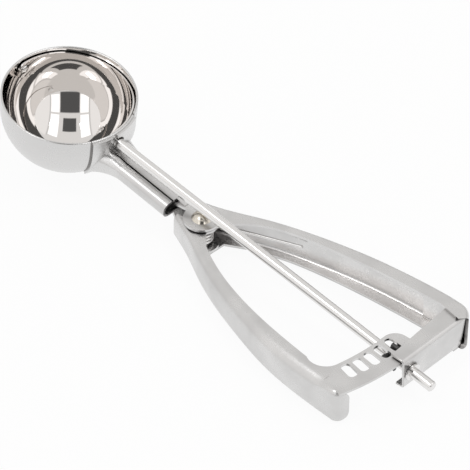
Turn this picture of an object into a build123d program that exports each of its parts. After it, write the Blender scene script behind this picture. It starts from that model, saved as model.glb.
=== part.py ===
from build123d import *
from math import asin, cos, radians, sin
import os

# Lever ice cream scoop at rest on a table. Millimetres, +Z up, the table is z = 0.
# The bowl points to -X, the tail to +X, and the fixed handle lies on the +Y side.
# Points of the handles' plans are counted from the hinge's axis.

# sheet and clearances
sheet = 1.0                    # handles
bracket_sheet = 0.9
bowl_sheet = 0.9
running_gap = 0.05             # radial, shaft in hole
side_play = 0.1                # axial, between faces that rub
band_gap = 0.3                 # scraper to bowl
loose_gap = 0.6                # radial, rod in the saddle's hole

# bowl
bowl_radius = 25.0
collar_height = 4.8
rim_rounding = 0.35

# rod: it slopes down from the bowl's centre to the tail
rod_radius = 2.0
rod_slope = 5.5
rod_stub = 10.3                # behind the bracket
rod_tip_chamfer = 0.5
spigot_radius = 1.4
spigot_head_radius = 2.3
spigot_head_height = 0.8
groove_depth = 0.5

# hinge and drive
bowl_to_hinge = 67.9
hinge_to_pinion = 93.5         # level distance to the tooth in mesh
teeth = 6
pitch_radius = 4.775
tooth_tip_radius = 6.1
tooth_root_radius = 3.2
tooth_root_width = 2.4
tooth_width = 1.9
tooth_tip_width = 1.1
tooth_rounding = 0.4
pinion_width = 2.8

# slots of the rack, angles seen from the hinge
slot_count = 5
slot_first_angle = 0.1         # the slot over the rod
slot_width = 3.55
slot_length = 6.9
slot_inset = 1.4               # the slots' middle, on the hinge's side of the tooth in mesh
slot_corner = 1.5

# rack strip, arcs about the hinge
strip_front = 6.2              # its two edges, counted from the tooth in mesh
strip_rear = 6.9
strip_end_angle = 4.0
strip_root_angle = -17.6
strip_end_corner = 5.2
strip_root_fillet = 7.0
strip_root_start = 17.0        # in front of the tooth in mesh
strip_root_reach = -25.2
strip_root_stop_angle = -12.8

# fixed handle
rivet_to_rod = 0.76            # clearance over the rivet's head
hinge_plate_radius = 6.8
fixed_rise = 2.0               # degrees, slope of the top face
fixed_fold = 2.4               # outer radius of the folds
fixed_front = (-16.0, 6.35)
fixed_waist = (0.0, 9.2)
fixed_shoulder = (16.0, 15.8)
fixed_middle = (45.5, 24.9)
fixed_rear = (68.0, 29.1)
fixed_reach = 31.3             # outside of the web at the back
fixed_nose = 9.9               # pinion to the nose's outside
fixed_nose_length = 11.4
fixed_nose_corner = 7.0
fixed_opening = 25.2           # inner edge of the flanges at the back
nose_mouth = 2.4               # the nose's open end: the web's edge, inside the web
nose_mouth_corner = 5.5
nose_mouth_depth = 3.5
fixed_inner_rear = (68.0, 22.95)
fixed_inner_middle = (45.5, 19.6)
fixed_inner_front = (31.0, 16.4)
fixed_inner_shoulder = (18.2, 11.4)
fixed_crotch = (10.1, 4.6)
fixed_plate_edge = (6.3, -1.5)
fixed_notch = (-7.5, -0.6)
fixed_seam_edge = -1.6
chin_start = -4.6
low_plate_radius = 5.6
low_plate_crotch = (5.9, 5.3)
low_plate_shoulder = (20.0, 13.9)

# neck: rolled tube under the rod, widening into the saddle on the bowl
neck_width = 13.0
neck_height = 6.6
neck_throat = 8.0              # distances from the bowl, along the rod
neck_to_hinge = 11.9           # from the tube's end
neck_top_throat = 4.3          # depths under the rod's axis
neck_top_end = 4.9
neck_ramp = 4.6                # slope from the tube's top down to the fork's plate
flare_width = 19.5
flare_height = 11.8
flare_top = 2.7
flare_start = -3.5
flare_middle = 1.5
flare_middle_width = 15.4
flare_middle_height = 9.2
flare_middle_top = 3.2
roll_share = 0.46              # corner radius as a share of the tube's height
seam_width = 0.7
seam_offset = -2.0
saddle_half_angle = 24.5
saddle_low_angle = 41.0
saddle_top = 4.2

# moving handle
ear_low = 1.4
ear_radius = 6.4
moving_rise = 1.64             # degrees, slope of the top face
moving_fall = 0.81             # degrees, slope of the underside
moving_fold = 2.2
moving_front = (-9.0, -5.2)
moving_waist = (0.0, -8.8)
moving_shoulder = (16.0, -16.6)
moving_middle = (45.5, -26.4)
moving_reach = -31.3           # outside of the web at the back
moving_nose = 2.7              # pinion to the nose's outside
moving_nose_length = 9.2
moving_nose_corner = 3.6
moving_opening = -25.6         # inner edge of the flanges at the back
moving_inner_middle = (46.5, -20.9)
moving_inner_shoulder = (20.0, -13.2)
moving_crotch = (10.4, -8.4)
moving_ear_edge = (5.4, -3.2)
moving_ear_front = (-9.0, -3.2)

# rear bracket
bracket_rear_face = 8.3        # behind the pinion's middle, along the rod
bracket_left = -4.6
bracket_left_lean = 9.0        # degrees, its left end leans in at the foot
bracket_seat = 0.1             # clearance inside the fixed handle's web
bracket_tab_front = 12.3       # in front of the tooth in mesh
bracket_tab_lean = 1.1         # the tab follows the web inwards
bracket_corner = 5.0
bracket_fold = 1.6
bracket_top_left = 2.5         # front edge of its top flange, behind the tooth in mesh
bracket_top_right = 0.1        # and in front of it
bracket_foot_front = 3.3       # front edge of its foot, behind it

# hinge pieces
rivet_radius = 1.9
rivet_head_radius = 3.8
rivet_head_height = 2.0
rivet_foot_radius = 2.9
bush_radius = 2.8
washer_radius = 4.6
upper_washer = 0.5
lower_washer = 0.3
wire_radius = 0.55
coil_pitch = 1.5
coil_turns = 3
coil_gap = 0.4
coil_lift = 0.4
leg_angle = 24.0
leg_length = 37.0

# scraper
band_sheet = 0.6
band_width = 9.5
band_end_width = 7.0
band_taper_height = 14.0
band_centre_angle = -6.75

# small parts
pin_radius = 1.0
pin_head_radius = 1.9
pin_head_height = 0.8
ring_sheet = 0.6
ring_radius = 3.4
ring_mouth = 2.4
rod_washer_sheet = 0.4
rod_washer_radius = 3.0

# derived: stations lie along the rod, counted from the bowl's centre
slope_cos = cos(radians(rod_slope))
slope_sin = sin(radians(rod_slope))
bowl_inner = bowl_radius - bowl_sheet
band_outer = bowl_inner - band_gap
band_inner = band_outer - band_sheet
mesh_station = (hinge_to_pinion + bowl_to_hinge - pitch_radius * slope_sin) / slope_cos
bracket_rear = mesh_station + bracket_rear_face
rod_length = bracket_rear + rod_stub
throat_station = bowl_radius + neck_throat
neck_end = bowl_to_hinge - neck_to_hinge

# the hinge stands so that the whole scoop is centred on x = 0
hinge_to_tail = rod_length * slope_cos + (rod_radius - rod_tip_chamfer) * slope_sin - bowl_to_hinge
hinge_x = (bowl_to_hinge + bowl_radius + pin_head_height - hinge_to_tail) / 2

# heights: the rivet's head passes under the rod, the ear lies under the fork's plate and a washer
rod_over_hinge = bowl_radius - bowl_to_hinge * slope_sin / slope_cos
hinge_plate_top = rod_over_hinge - rod_radius - rivet_to_rod - rivet_head_height
plate_under = hinge_plate_top - sheet
ear_top = plate_under - upper_washer - side_play
mesh_height = bowl_radius - mesh_station * slope_sin + pitch_radius * slope_cos
neck_under = bowl_radius - neck_end * slope_sin - (neck_top_end + neck_height) * slope_cos
neck_over = bowl_radius - neck_end * slope_sin - neck_top_end * slope_cos

# plan of the tail, counted from the hinge
fixed_tail = hinge_to_pinion + fixed_nose
fixed_back = (fixed_tail - fixed_nose_length, fixed_reach)
moving_tail = hinge_to_pinion + moving_nose
moving_back = (moving_tail - moving_nose_length, moving_reach)
strip_inner_radius = hinge_to_pinion - strip_front
strip_outer_radius = hinge_to_pinion + strip_rear
slot_pitch_angle = 360 / teeth * pitch_radius / hinge_to_pinion
bracket_front = hinge_to_pinion - bracket_tab_front
bracket_back_reach = fixed_reach - sheet - bracket_seat
bracket_tab_reach = bracket_back_reach - bracket_tab_lean
rod_direction = Vector(slope_cos, 0, -slope_sin)
rim_direction = Vector(slope_sin, 0, slope_cos)
bowl_centre = Vector(hinge_x - bowl_to_hinge, 0, bowl_radius)
rim_axis = Axis(bowl_centre, rim_direction)
scoop_plane = Plane(origin=bowl_centre, x_dir=rod_direction, z_dir=rim_direction)
side_plane = Plane(origin=bowl_centre, x_dir=rod_direction, z_dir=(0, -1, 0))
hinge_plane = Plane(origin=(hinge_x, 0, 0), x_dir=(1, 0, 0), z_dir=(0, 0, 1))
hinge_side = Plane(origin=(hinge_x, 0, 0), x_dir=(1, 0, 0), z_dir=(0, -1, 0))


def dome_middle(radius, height):
    # halfway point of a domed head's outline, from the foot of its axis
    curve = (radius ** 2 + height ** 2) / (2 * height)
    half = asin(radius / curve) / 2
    return curve * sin(half), curve * cos(half) - curve + height


def rod_station(distance, depth=0):
    # plane across the rod: distance from the bowl's centre, depth under the rod's axis, x to +Y
    centre = bowl_centre + rod_direction * distance - rim_direction * depth
    return Plane(origin=centre, x_dir=(0, 1, 0), z_dir=rod_direction)


def handle_face(reach, height, rise):
    # plane of a handle's top or underside through the point at reach and height, facing up
    lean = radians(rise)
    return Plane(origin=(hinge_x + reach, 0, height), x_dir=(cos(lean), 0, sin(lean)),
                 z_dir=(-sin(lean), 0, cos(lean)))


# the rack's middle plane passes mesh_height over the tooth in mesh
moving_top = handle_face(hinge_to_pinion, mesh_height + sheet / 2, moving_rise)
moving_under = handle_face(0, ear_low, -moving_fall)
fixed_top = handle_face(0, hinge_plate_top, fixed_rise)
hole_over_bush = bush_radius + running_gap
tab_inside = bracket_tab_reach - bracket_sheet
bracket_end = Plane(origin=(hinge_x, bracket_left, hinge_plate_top), x_dir=(1, 0, 0),
                    z_dir=(0, cos(radians(bracket_left_lean)), sin(radians(bracket_left_lean))))
rod_axis = Axis(bowl_centre, rod_direction)
hinge_axis = Axis((hinge_x, 0, 0), (0, 0, 1))
spigot_seat = (band_inner ** 2 - spigot_head_radius ** 2) ** 0.5
pin_seat = side_play - (band_inner ** 2 - pin_head_radius ** 2) ** 0.5


def side_walls(faces, outward, to_tail):
    # upright faces that look outward (a direction along Y) or to the tail, and the others
    upright = faces.filter_by(lambda face: abs(face.normal_at().Z) < 0.5)
    kept = upright.filter_by(lambda face: face.normal_at().Y * outward > 0.3
                             or face.normal_at().X > to_tail)
    return kept, upright.filter_by(lambda face: face not in kept)


# bowl
with BuildPart() as bowl:
    with BuildSketch(side_plane) as bowl_wall:
        with BuildLine():
            CenterArc((0, 0), bowl_radius, -90, 90)
            CenterArc((0, 0), bowl_inner, -90, 90)
            Polyline((bowl_radius, 0), (bowl_radius, collar_height), (bowl_inner, collar_height),
                     (bowl_inner, 0))
            Line((0, -bowl_radius), (0, -bowl_inner))
        make_face()
        fillet(bowl_wall.vertices().group_by(Axis.Y)[-1], rim_rounding)
    revolve(axis=rim_axis)
    with BuildSketch(rod_station(0)):
        Circle(rod_radius + running_gap)
    extrude(amount=bowl_radius + sheet, mode=Mode.SUBTRACT)
    with BuildSketch(rod_station(0)):
        Circle(pin_radius)
    extrude(amount=-bowl_radius - sheet, mode=Mode.SUBTRACT)
bowl.part.label = "bowl"

# channel of the fixed handle with both plates of the hinge fork
with BuildPart() as fixed_channel:
    with BuildSketch(hinge_plane) as fixed_plan:
        with BuildLine():
            Spline(fixed_front, fixed_waist, fixed_shoulder, fixed_middle, fixed_rear, fixed_back,
                   tangents=[(1, 0), (1, 0)], tangent_scalars=(1, 0.5))
            Polyline(fixed_back, (fixed_tail, fixed_reach),
                     (fixed_tail, fixed_reach - fixed_nose_corner - sheet),
                     (fixed_back[0], fixed_opening))
            Spline((fixed_back[0], fixed_opening), fixed_inner_rear, fixed_inner_middle,
                   fixed_inner_front, fixed_inner_shoulder, fixed_crotch, fixed_plate_edge)
            Polyline(fixed_plate_edge, (0, 0), fixed_notch, (fixed_front[0], fixed_seam_edge),
                     fixed_front)
        make_face()
        nose_corner = fixed_plan.vertices().group_by(Axis.X)[-1].sort_by(Axis.Y)[-1]
        fillet(nose_corner, fixed_nose_corner)
        Circle(hinge_plate_radius)
    extrude(amount=2 * hinge_plate_top)
    split(bisect_by=fixed_top, keep=Keep.BOTTOM)
    web_walls, open_walls = side_walls(fixed_channel.faces(), 1, 0.9)
    fillet(web_walls.edges().filter_by(Axis.Z, reverse=True), fixed_fold)
    web_walls, open_walls = side_walls(fixed_channel.faces(), 1, 0.9)
    offset(amount=-sheet, openings=open_walls)
    # the lower plate is smaller, and its crotch is cut less deep
    with BuildSketch(hinge_plane):
        with BuildLine():
            Polyline(low_plate_shoulder, low_plate_crotch, (low_plate_radius, 0),
                     (low_plate_radius, -2 * low_plate_radius), (low_plate_shoulder[0], 0),
                     low_plate_shoulder)
        make_face()
    extrude(amount=hinge_plate_top / 2, mode=Mode.SUBTRACT)
    # the nose is open at the back: its mouth follows the web and rounds up to the top flange
    with BuildSketch(Plane.YZ.offset(hinge_x + fixed_tail - fixed_nose_corner / 2)) as mouth:
        with BuildLine():
            mouth_edge = fixed_reach - nose_mouth
            mouth_top = hinge_plate_top + nose_mouth_depth
            Polyline((0, -sheet), (mouth_edge, -sheet), (mouth_edge, mouth_top), (0, mouth_top), (0, -sheet))
        make_face()
        fillet(mouth.vertices().group_by(Axis.X)[-1], nose_mouth_corner)
    extrude(amount=fixed_nose_corner, mode=Mode.SUBTRACT)
    # chin: the underside rises from the fork to the neck
    chin_height = neck_under + slope_sin
    with BuildSketch(hinge_side):
        with BuildLine():
            chin = TangentArc((chin_start, 0), (fixed_front[0], chin_height), tangent=(-1, 0))
            Polyline(chin @ 1, (fixed_front[0] - sheet, chin_height),
                     (fixed_front[0] - sheet, -sheet), (chin_start, -sheet), chin @ 0)
        make_face()
    extrude(amount=fixed_back[1], both=True, mode=Mode.SUBTRACT)
    with BuildSketch(hinge_side):
        with BuildLine():
            low_arc = TangentArc((chin_start, 0), (fixed_front[0], chin_height), tangent=(-1, 0))
            offset(low_arc, amount=sheet, side=Side.RIGHT, closed=True)
        make_face()
    extrude(amount=-fixed_front[1] + sheet / 2)

# neck and saddle, joined to the channel: one pressing
saddle_direction = rod_direction.rotate(rim_axis, -saddle_half_angle)
saddle_plane = Plane(origin=bowl_centre, x_dir=saddle_direction,
                     z_dir=saddle_direction.cross(rim_direction))
tube_sections = [
    (bowl_radius + flare_start, flare_width, flare_height, flare_top),
    (bowl_radius + flare_middle, flare_middle_width, flare_middle_height, flare_middle_top),
    (throat_station, neck_width, neck_height, neck_top_throat),
    (neck_end, neck_width, neck_height, neck_top_end),
]
with BuildPart() as fixed_handle:
    add(fixed_channel.part)
    with BuildSketch(saddle_plane):
        with BuildLine():
            CenterArc((0, 0), bowl_radius, -saddle_low_angle, saddle_low_angle)
            CenterArc((0, 0), bowl_radius + sheet, -saddle_low_angle, saddle_low_angle)
            Polyline((bowl_radius, 0), (bowl_radius, saddle_top), (bowl_radius + sheet, saddle_top),
                     (bowl_radius + sheet, 0))
            PolarLine((bowl_radius * cos(radians(saddle_low_angle)),
                       -bowl_radius * sin(radians(saddle_low_angle))), sheet, -saddle_low_angle)
        make_face()
    revolve(axis=rim_axis, revolution_arc=2 * saddle_half_angle)
    for first, last in [(0, 3), (2, 4)]:
        for distance, width, height, top in tube_sections[first:last]:
            with BuildSketch(rod_station(distance, top + height / 2)):
                RectangleRounded(width, height, roll_share * height)
        loft(ruled=first > 0)
    for first, last in [(0, 3), (2, 4)]:
        for distance, width, height, top in tube_sections[first:last]:
            with BuildSketch(rod_station(distance, top + height / 2)):
                RectangleRounded(width - 2 * sheet, height - 2 * sheet, roll_share * height - sheet)
        loft(ruled=first > 0, mode=Mode.SUBTRACT)
    with Locations(scoop_plane.location):
        Sphere(bowl_radius, mode=Mode.SUBTRACT)
    # ramp: the tube's top goes down to the fork's plate, right of the seam
    with BuildSketch(hinge_side):
        with BuildLine():
            ramp_start = neck_end * slope_cos - bowl_to_hinge - sheet
            ramp_end = (ramp_start + neck_ramp, hinge_plate_top)
            Polyline((ramp_start, neck_over), ramp_end, (ramp_end[0], plate_under),
                     (ramp_start, neck_over - sheet), (ramp_start, neck_over))
        make_face()
    extrude(amount=-neck_width / 2 + sheet)
    with BuildSketch(rod_station(bowl_radius + flare_start)):
        Circle(rod_radius + loose_gap)
    extrude(amount=bowl_radius / 4, mode=Mode.SUBTRACT)
    with BuildSketch(rod_station(throat_station, neck_top_throat)):
        with Locations((seam_offset, 0)):
            Rectangle(seam_width, neck_height)
    extrude(amount=neck_end - throat_station + sheet, mode=Mode.SUBTRACT)
    # level seats round the hinge, the hole for the rivet and the sink for its foot
    with BuildSketch(hinge_plane.offset(plate_under - sheet)):
        Circle(hinge_plate_radius)
    extrude(amount=3 * sheet, mode=Mode.SUBTRACT)
    with BuildSketch(hinge_plane.offset(plate_under)):
        Circle(hinge_plate_radius)
    extrude(amount=sheet)
    with Locations(hinge_plane.location):
        Cylinder(rivet_radius, hinge_plate_top, align=(Align.CENTER, Align.CENTER, Align.MIN),
                 mode=Mode.SUBTRACT)
        Cone(rivet_foot_radius, rivet_radius, sheet, align=(Align.CENTER, Align.CENTER, Align.MIN),
             mode=Mode.SUBTRACT)
fixed_handle.part.label = "fixed_handle"

# channel of the moving handle with both ears of its knuckle
with BuildPart() as moving_channel:
    with BuildSketch(hinge_plane) as moving_plan:
        with BuildLine():
            Spline(moving_front, moving_waist, moving_shoulder, moving_middle, moving_back,
                   tangents=[(1, -0.4), (1, 0)])
            Polyline(moving_back, (moving_tail, moving_back[1]), (moving_tail, moving_opening),
                     (moving_back[0], moving_opening))
            Spline((moving_back[0], moving_opening), moving_inner_middle, moving_inner_shoulder,
                   moving_crotch)
            Polyline(moving_crotch, moving_ear_edge, moving_ear_front, moving_front)
        make_face()
        nose_corner = moving_plan.vertices().group_by(Axis.X)[-1].sort_by(Axis.Y)[0]
        fillet(nose_corner, moving_nose_corner)
    extrude(amount=2 * hinge_plate_top)
    split(bisect_by=moving_top, keep=Keep.BOTTOM)
    split(bisect_by=moving_under, keep=Keep.TOP)
    web_walls, open_walls = side_walls(moving_channel.faces(), -1, 0.9)
    fillet(web_walls.edges().filter_by(Axis.Z, reverse=True), moving_fold)
    web_walls, open_walls = side_walls(moving_channel.faces(), -1, 0.9)
    offset(amount=-sheet, openings=open_walls)

# rack strip, cut from a thick blank by the two faces of the top flange
with BuildPart() as strip:
    with BuildSketch(hinge_plane) as strip_plan:
        strip_span = strip_end_angle - strip_root_angle
        with BuildLine():
            strip_inner = CenterArc((0, 0), strip_inner_radius, strip_root_angle, strip_span)
            strip_outer = CenterArc((0, 0), strip_outer_radius, strip_root_angle, strip_span)
            Line(strip_inner @ 0, strip_outer @ 0)
            Line(strip_inner @ 1, strip_outer @ 1)
        make_face()
        fillet(strip_plan.vertices().filter_by(lambda vertex: vertex.Y > 0), strip_end_corner)
        with BuildLine():
            root_stop = (strip_inner_radius * cos(radians(strip_root_stop_angle)),
                         strip_inner_radius * sin(radians(strip_root_stop_angle)))
            root_start = (hinge_to_pinion - strip_root_start, strip_root_reach)
            root_edge = moving_reach + moving_fold
            RadiusArc(root_start, root_stop, strip_root_fillet)
            Polyline(root_stop, (hinge_to_pinion, root_stop[1]), (hinge_to_pinion, root_edge),
                     (root_start[0], root_edge), root_start)
        make_face()
        with PolarLocations(hinge_to_pinion - slot_inset, slot_count,
                            start_angle=slot_first_angle - (slot_count - 1) * slot_pitch_angle,
                            angular_range=(slot_count - 1) * slot_pitch_angle, endpoint=True):
            RectangleRounded(slot_length, slot_width, slot_corner, mode=Mode.SUBTRACT)
    extrude(amount=2 * hinge_plate_top)
    split(bisect_by=moving_top, keep=Keep.BOTTOM)
    split(bisect_by=moving_top.offset(-sheet), keep=Keep.TOP)

with BuildPart() as moving_handle:
    add(moving_channel.part)
    with BuildSketch(hinge_plane.offset(ear_top)):
        Circle(ear_radius)
    extrude(amount=sheet, mode=Mode.SUBTRACT)
    for ear_under in (ear_low, ear_top - sheet):
        with BuildSketch(hinge_plane.offset(ear_under)):
            Circle(ear_radius)
        extrude(amount=sheet)
    add(strip.part)
    with Locations(hinge_plane.location):
        Cylinder(hole_over_bush, 2 * hinge_plate_top, mode=Mode.SUBTRACT)
moving_handle.part.label = "moving_handle"


def bracket_block(inset):
    # the bracket's outside, drawn in by a thickness at its back, right end, top and foot
    with BuildPart() as block:
        with BuildSketch(hinge_plane.offset(sheet + inset)):
            with BuildLine():
                Polyline((bracket_front, bracket_left), (bracket_front, bracket_tab_reach - inset),
                         (fixed_back[0], bracket_back_reach - inset),
                         (fixed_tail, bracket_back_reach - inset), (fixed_tail, bracket_left),
                         (bracket_front, bracket_left))
            make_face()
        extrude(amount=2 * hinge_plate_top)
        split(bisect_by=fixed_top.offset(-sheet - inset), keep=Keep.BOTTOM)
        split(bisect_by=rod_station(bracket_rear - inset), keep=Keep.BOTTOM)
        back = block.faces().sort_by(Axis.X)[-1]
        fillet(back.edges().filter_by(Axis.Y, reverse=True).sort_by(Axis.Y)[-1],
               bracket_corner - inset)
        back = block.faces().filter_by(GeomType.PLANE).sort_by(Axis.X)[-1]
        fillet(back.edges().filter_by(Axis.Y), bracket_fold - inset)
    return block.part


# rear bracket: folded channel that nests in the fixed handle's nose
with BuildPart() as rear_bracket:
    add(bracket_block(0))
    add(bracket_block(bracket_sheet), mode=Mode.SUBTRACT)
    with BuildSketch(hinge_plane.offset(hinge_plate_top / 2)):
        with BuildLine():
            Polyline((bracket_front, bracket_left), (hinge_to_pinion + bracket_top_left, bracket_left),
                     (hinge_to_pinion - bracket_top_right, tab_inside), (bracket_front, tab_inside),
                     (bracket_front, bracket_left))
        make_face()
    extrude(amount=hinge_plate_top, mode=Mode.SUBTRACT)
    with BuildSketch(hinge_plane):
        with BuildLine():
            foot_edge = hinge_to_pinion + bracket_foot_front
            Polyline((bracket_front, bracket_left), (foot_edge, bracket_left), (foot_edge, tab_inside),
                     (bracket_front, tab_inside), (bracket_front, bracket_left))
        make_face()
    extrude(amount=hinge_plate_top / 2, mode=Mode.SUBTRACT)
    split(bisect_by=bracket_end, keep=Keep.TOP)
    with BuildSketch(rod_station(bracket_rear - 2 * bracket_sheet)):
        Circle(rod_radius + running_gap)
    extrude(amount=3 * bracket_sheet, mode=Mode.SUBTRACT)
rear_bracket.part.label = "rear_bracket"

# rod with a riveted spigot at the scraper and a ring groove at the tail
ring_station = bracket_rear + side_play + rod_washer_sheet
with BuildPart() as drive_rod:
    with BuildSketch(side_plane) as rod_half:
        with BuildLine():
            Polyline((band_inner - spigot_head_height, 0),
                     (band_inner - spigot_head_height, spigot_head_radius - rim_rounding),
                     (band_inner - spigot_head_height / 2, spigot_head_radius),
                     (spigot_seat, spigot_head_radius), (spigot_seat, spigot_radius),
                     (band_outer, spigot_radius), (band_outer, rod_radius), (ring_station, rod_radius),
                     (ring_station, rod_radius - groove_depth),
                     (ring_station + ring_sheet, rod_radius - groove_depth),
                     (ring_station + ring_sheet, rod_radius),
                     (rod_length - rod_tip_chamfer, rod_radius),
                     (rod_length, rod_radius - rod_tip_chamfer), (rod_length, 0),
                     (band_inner - spigot_head_height, 0))
        make_face()
    revolve(axis=rod_axis)
drive_rod.part.label = "drive_rod"

# pinion pressed on the rod, one tooth upright
with BuildPart() as pinion:
    with BuildSketch(rod_station(mesh_station - pinion_width / 2)) as pinion_face:
        with PolarLocations(0, teeth, start_angle=90):
            Polygon((tooth_root_radius - running_gap, -tooth_root_width / 2),
                    (pitch_radius, -tooth_width / 2), (tooth_tip_radius, -tooth_tip_width / 2),
                    (tooth_tip_radius, tooth_tip_width / 2), (pitch_radius, tooth_width / 2),
                    (tooth_root_radius - running_gap, tooth_root_width / 2),
                    (0, tooth_root_width / 2), (0, -tooth_root_width / 2), align=None)
        Circle(tooth_root_radius)
        tips = pinion_face.vertices().filter_by(
            lambda vertex: abs(Vector(vertex.X, vertex.Y, 0).length - tooth_tip_radius) < sheet / 2)
        fillet(tips, tooth_rounding)
        Circle(rod_radius, mode=Mode.SUBTRACT)
    extrude(amount=pinion_width)
pinion.part.label = "pinion"

# scraper: band on a sphere, cut by an upright outline that narrows to round ends
with BuildPart() as scraper_band:
    with BuildSketch(rod_station(0)):
        with Locations(Rot(0, 0, band_centre_angle - 90)):
            Polygon((-band_end_width / 2, 0), (-band_width / 2, band_taper_height),
                    (-band_width / 2, bowl_radius), (band_width / 2, bowl_radius),
                    (band_width / 2, band_taper_height), (band_end_width / 2, 0), align=None)
            Circle(band_end_width / 2)
    extrude(amount=bowl_radius, both=True)
    with Locations(scoop_plane.location):
        Sphere(band_outer, mode=Mode.INTERSECT)
        Sphere(band_inner, mode=Mode.SUBTRACT)
    with BuildSketch(rod_station(0)):
        Circle(spigot_radius)
    extrude(amount=bowl_radius, mode=Mode.SUBTRACT)
    with BuildSketch(rod_station(0)):
        Circle(pin_radius + running_gap)
    extrude(amount=-bowl_radius, mode=Mode.SUBTRACT)
scraper_band.part.label = "scraper_band"

# front bearing of the scraper, riveted through the bowl's wall
with BuildPart() as scraper_rivet:
    with BuildSketch(side_plane):
        with BuildLine():
            out, along = dome_middle(pin_head_radius, pin_head_height)
            outer_head = ThreePointArc((-bowl_radius - pin_head_height, 0), (-bowl_radius - along, out),
                                       (-bowl_radius, pin_head_radius))
            inner_head = ThreePointArc((pin_seat, pin_head_radius), (pin_seat + along, out),
                                       (pin_seat + pin_head_height, 0))
            Polyline(outer_head @ 1, (-bowl_radius, pin_radius), (pin_seat, pin_radius), inner_head @ 0)
            Line(inner_head @ 1, outer_head @ 0)
        make_face()
    revolve(axis=rod_axis)
scraper_rivet.part.label = "scraper_rivet"

# hinge: rivet, bush, washers and spring
with BuildPart() as hinge_rivet:
    with BuildSketch(hinge_side):
        with BuildLine():
            out, along = dome_middle(rivet_head_radius, rivet_head_height)
            dome = ThreePointArc((rivet_head_radius, hinge_plate_top), (out, hinge_plate_top + along),
                                 (0, hinge_plate_top + rivet_head_height))
            Polyline(dome @ 0, (rivet_radius, hinge_plate_top), (rivet_radius, sheet),
                     (rivet_foot_radius, 0), (0, 0), dome @ 1)
        make_face()
    revolve(axis=hinge_axis)
hinge_rivet.part.label = "hinge_rivet"

with BuildPart() as hinge_bush:
    with BuildSketch(hinge_plane.offset(sheet)):
        Circle(bush_radius)
        Circle(rivet_radius, mode=Mode.SUBTRACT)
    extrude(amount=plate_under - sheet)
hinge_bush.part.label = "hinge_bush"

with BuildPart() as upper_hinge_washer:
    with BuildSketch(hinge_plane.offset(plate_under - upper_washer)):
        Circle(washer_radius)
        Circle(hole_over_bush, mode=Mode.SUBTRACT)
    extrude(amount=upper_washer)
upper_hinge_washer.part.label = "upper_hinge_washer"

with BuildPart() as lower_hinge_washer:
    with BuildSketch(hinge_plane.offset(sheet)):
        Circle(washer_radius)
        Circle(hole_over_bush, mode=Mode.SUBTRACT)
    extrude(amount=lower_washer)
lower_hinge_washer.part.label = "lower_hinge_washer"

coil_radius = bush_radius + coil_gap + wire_radius
coil_low = ear_low + sheet + coil_lift + wire_radius
coil_rise = coil_pitch * (coil_turns + (180 - 2 * leg_angle) / 360)
coil_start = 180 + 90 - leg_angle
coil = Helix(coil_pitch, coil_rise, coil_radius, lefthand=True).rotate(Axis.Z, coil_start)
coil = coil.moved(Location((hinge_x, 0, coil_low)))
with BuildPart() as return_spring:
    with BuildLine():
        add(coil)
    with BuildSketch(Plane(origin=coil @ 0, z_dir=coil % 0)):
        Circle(wire_radius)
    sweep(is_frenet=True)
    for leg_root, leg_side in ((coil @ 0, -1), (coil @ 1, 1)):
        leg_direction = Vector(cos(radians(leg_angle)), leg_side * sin(radians(leg_angle)), 0)
        with BuildSketch(Plane(origin=leg_root - leg_direction * wire_radius, z_dir=leg_direction)):
            Circle(wire_radius)
        extrude(amount=leg_length)
return_spring.part.label = "return_spring"

# small parts behind the bracket
with BuildPart() as rod_washer:
    with BuildSketch(rod_station(bracket_rear + side_play)):
        Circle(rod_washer_radius)
        Circle(rod_radius, mode=Mode.SUBTRACT)
    extrude(amount=rod_washer_sheet)
rod_washer.part.label = "rod_washer"

with BuildPart() as retaining_ring:
    with BuildSketch(rod_station(ring_station)):
        Circle(ring_radius)
        Circle(rod_radius - groove_depth, mode=Mode.SUBTRACT)
        with Locations((0, -ring_radius)):
            Rectangle(ring_mouth, 2 * ring_radius, mode=Mode.SUBTRACT)
    extrude(amount=ring_sheet)
retaining_ring.part.label = "retaining_ring"

os.makedirs("parts", exist_ok=True)
export_step(bowl.part, "parts/bowl.step")
export_step(fixed_handle.part, "parts/fixed_handle.step")
export_step(moving_handle.part, "parts/moving_handle.step")
export_step(rear_bracket.part, "parts/rear_bracket.step")
export_step(drive_rod.part, "parts/drive_rod.step")
export_step(pinion.part, "parts/pinion.step")
export_step(scraper_band.part, "parts/scraper_band.step")
export_step(scraper_rivet.part, "parts/scraper_rivet.step")
export_step(hinge_rivet.part, "parts/hinge_rivet.step")
export_step(hinge_bush.part, "parts/hinge_bush.step")
export_step(upper_hinge_washer.part, "parts/upper_hinge_washer.step")
export_step(lower_hinge_washer.part, "parts/lower_hinge_washer.step")
export_step(return_spring.part, "parts/return_spring.step")
export_step(rod_washer.part, "parts/rod_washer.step")
export_step(retaining_ring.part, "parts/retaining_ring.step")
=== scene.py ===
import math

import bmesh
import bpy
import numpy as np
from mathutils import Matrix, Vector


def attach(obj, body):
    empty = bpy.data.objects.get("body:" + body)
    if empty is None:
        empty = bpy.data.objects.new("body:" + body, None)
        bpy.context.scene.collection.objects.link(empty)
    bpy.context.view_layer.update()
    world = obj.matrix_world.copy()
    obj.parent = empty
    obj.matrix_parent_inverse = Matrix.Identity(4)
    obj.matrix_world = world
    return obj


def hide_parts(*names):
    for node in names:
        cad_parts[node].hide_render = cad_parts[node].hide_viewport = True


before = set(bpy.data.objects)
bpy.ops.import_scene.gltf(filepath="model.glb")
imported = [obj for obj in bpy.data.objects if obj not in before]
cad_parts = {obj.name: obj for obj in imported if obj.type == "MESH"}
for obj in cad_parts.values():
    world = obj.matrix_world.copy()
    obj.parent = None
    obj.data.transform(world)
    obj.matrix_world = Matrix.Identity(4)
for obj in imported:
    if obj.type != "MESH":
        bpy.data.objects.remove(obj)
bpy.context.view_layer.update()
mm = 0.001

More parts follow.
